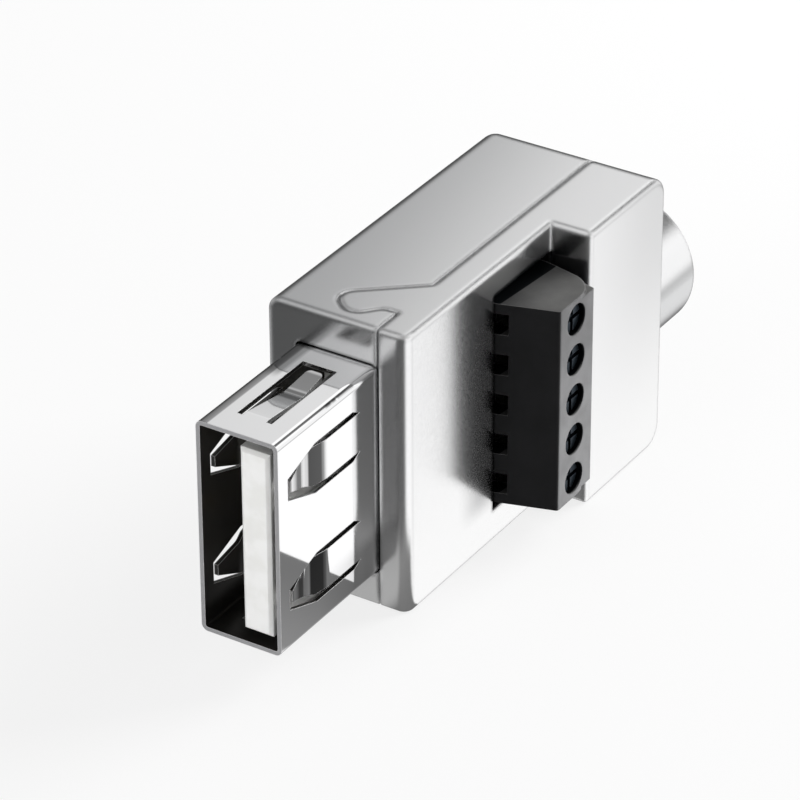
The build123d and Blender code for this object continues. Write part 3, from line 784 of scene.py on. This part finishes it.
def blackMoulding(look):
    material, tree, surface = startMaterial("blackMoulding")
    setShine(surface, 0.0, look["roughness"], look["specular"])
    place, facing = placeParts(tree), facingParts(tree)
    upward = fadeBetween(tree, facing[2], *look["endFacing"])
    lean = mathNode(tree, "SUBTRACT", place[0], mathNode(tree, "MULTIPLY", place[1], look["darkLean"]))
    ends = productOf(tree, upward, fadeBetween(tree, lean, *look["darkEnd"]),
                     fadeBetween(tree, place[0], *look["paleX"]),
                     fadeBetween(tree, place[1], *look["paleY"]))
    gap = mathNode(tree, "MULTIPLY", upward, fadeBetween(tree, lean, *reversed(look["darkEnd"])))
    outer = mathNode(tree, "MULTIPLY", fadeBetween(tree, facing[0], *look["holeFacing"]),
                     fadeBetween(tree, place[0], *look["holeFace"]))
    # painted light on the hole face, stronger towards its foot
    worn = mathNode(tree, "MULTIPLY", outer, fadeBetween(tree, place[2], *look["holeFaceLightFade"]))
    well = screwWells(tree, place, look)
    rounded = roundedEdges(tree, look["edgeRound"])
    # painted highlight along the edges of the upward faces
    paintedEdgeHighlight = mathNode(tree, "MULTIPLY", edgeWear(tree, rounded), upward)
    colour = look["colour"]
    for share, tone in (
        (ends, "endLightColour"),
        (worn, "holeFaceLightColour"),
        (well, "recessShadeColour"),
        (gap, "recessShadeColour"),
        (paintedEdgeHighlight, "edgeHighlightColour"),
    ):
        colour = blendColour(tree, share, colour, look[tone])
    cloud = fadeBetween(tree, noiseAt(tree, look["cloudSize"], 3.0), *noiseRange, *look["cloudSpread"])
    shade = tree.nodes.new("ShaderNodeVectorMath")
    shade.operation = "SCALE"
    tree.links.new(colour, shade.inputs[0])
    tree.links.new(cloud, shade.inputs["Scale"])
    tree.links.new(shade.outputs[0], surface.inputs["Base Color"])
    # painted shade: the screw wells and the gap lose their gloss too
    dark = mathNode(tree, "MAXIMUM", well, gap)
    gloss = fadeBetween(tree, dark, 0.0, 1.0, look["specular"], look["wellSpecular"])
    tree.links.new(gloss, surface.inputs["Specular IOR Level"])
    polish = mathNode(tree, "MULTIPLY", outer, look["rubbedRoughness"] - look["roughness"])
    tree.links.new(mathNode(tree, "ADD", polish, look["roughness"]), surface.inputs["Roughness"])
    grain = noiseAt(tree, look["grainSize"], 2.0)
    tree.links.new(bumpFrom(tree, grain, look["grainDepth"], rounded), surface.inputs["Normal"])
    return material


dress(["terminal_housing"], blackMoulding(blockLook))


# Small metal parts: near-black screws, tinned cages and pins, gilt contacts

# the grain makes a plating a little smoother and a little rougher
plateSpread = (-0.05, 0.08)

screwLook = {
    "name": "darkScrewMetal",
    "colour": (0.045, 0.06, 0.075, 1.0),
    "wornColour": (0.14, 0.165, 0.19, 1.0),
    "roughness": 0.42,
    "grainSize": 0.07,
    "grainDepth": 0.001,
    "edgeRound": 0.05,
}

tinLook = {
    "name": "tinPlate",
    "colour": (0.62, 0.62, 0.60, 1.0),
    "wornColour": (0.75, 0.75, 0.74, 1.0),
    "roughness": 0.32,
    "grainSize": 0.12,
    "grainDepth": 0.0012,
    "edgeRound": 0.05,
}

giltLook = {
    "name": "giltPlate",
    "colour": (0.78, 0.57, 0.22, 1.0),
    "wornColour": (0.85, 0.68, 0.36, 1.0),
    "roughness": 0.24,
    "grainSize": 0.1,
    "grainDepth": 0.0006,
    "edgeRound": 0.03,
}


def platedMetal(look):
    material, tree, surface = startMaterial(look["name"])
    setShine(surface, 1.0, look["roughness"])
    rounded = roundedEdges(tree, look["edgeRound"])
    grain = noiseAt(tree, look["grainSize"], 3.0)
    colour = blendColour(tree, edgeWear(tree, rounded), look["colour"], look["wornColour"])
    tree.links.new(colour, surface.inputs["Base Color"])
    smooth, coarse = (look["roughness"] + change for change in plateSpread)
    tree.links.new(fadeBetween(tree, grain, *noiseRange, smooth, coarse), surface.inputs["Roughness"])
    tree.links.new(bumpFrom(tree, grain, look["grainDepth"], rounded), surface.inputs["Normal"])
    return material


dress(screwNodes, platedMetal(screwLook))
dress(pinNodes + cageNodes, platedMetal(tinLook))
dress(contactNodes, platedMetal(giltLook))
print("terminal block dressed")


# Circuit board: green lacquer over glass weave, with copper tracks under it

boardLook = {
    "colour": (0.012, 0.12, 0.04, 1.0),
    "trackColour": (0.03, 0.22, 0.08, 1.0),
    "edgeColour": (0.42, 0.38, 0.2, 1.0),
    "trackPitch": 2.54,
    "trackHalf": (0.3, 0.25),
    "firstTrack": 3.82,
    "flatFacing": (0.3, 0.7),
    "roughness": 0.3,
    "weaveSize": 0.12,
    "weaveShare": 0.3,
    "trackDepth": 0.02,
}


def lacqueredBoard(look):
    material, tree, surface = startMaterial("lacqueredBoard")
    setShine(surface, 0.0, look["roughness"])
    place, facing = placeParts(tree), facingParts(tree)
    half = look["trackPitch"] / 2
    lane = mathNode(tree, "SUBTRACT", place[2], look["firstTrack"] - half)
    offset = distanceFrom(tree, mathNode(tree, "FLOORED_MODULO", lane, look["trackPitch"]), half)
    track = fadeBetween(tree, offset, *look["trackHalf"])
    colour = blendColour(tree, track, look["colour"], look["trackColour"])
    flat = fadeBetween(tree, mathNode(tree, "ABSOLUTE", facing[0]), *look["flatFacing"])
    colour = blendColour(tree, flat, look["edgeColour"], colour)
    tree.links.new(colour, surface.inputs["Base Color"])
    weave = mathNode(tree, "MULTIPLY", noiseAt(tree, look["weaveSize"], 2.0), look["weaveShare"])
    height = mathNode(tree, "ADD", weave, track)
    tree.links.new(bumpFrom(tree, height, look["trackDepth"]), surface.inputs["Normal"])
    return material


dress(["circuit_board"], lacqueredBoard(boardLook))
print("circuit board dressed")
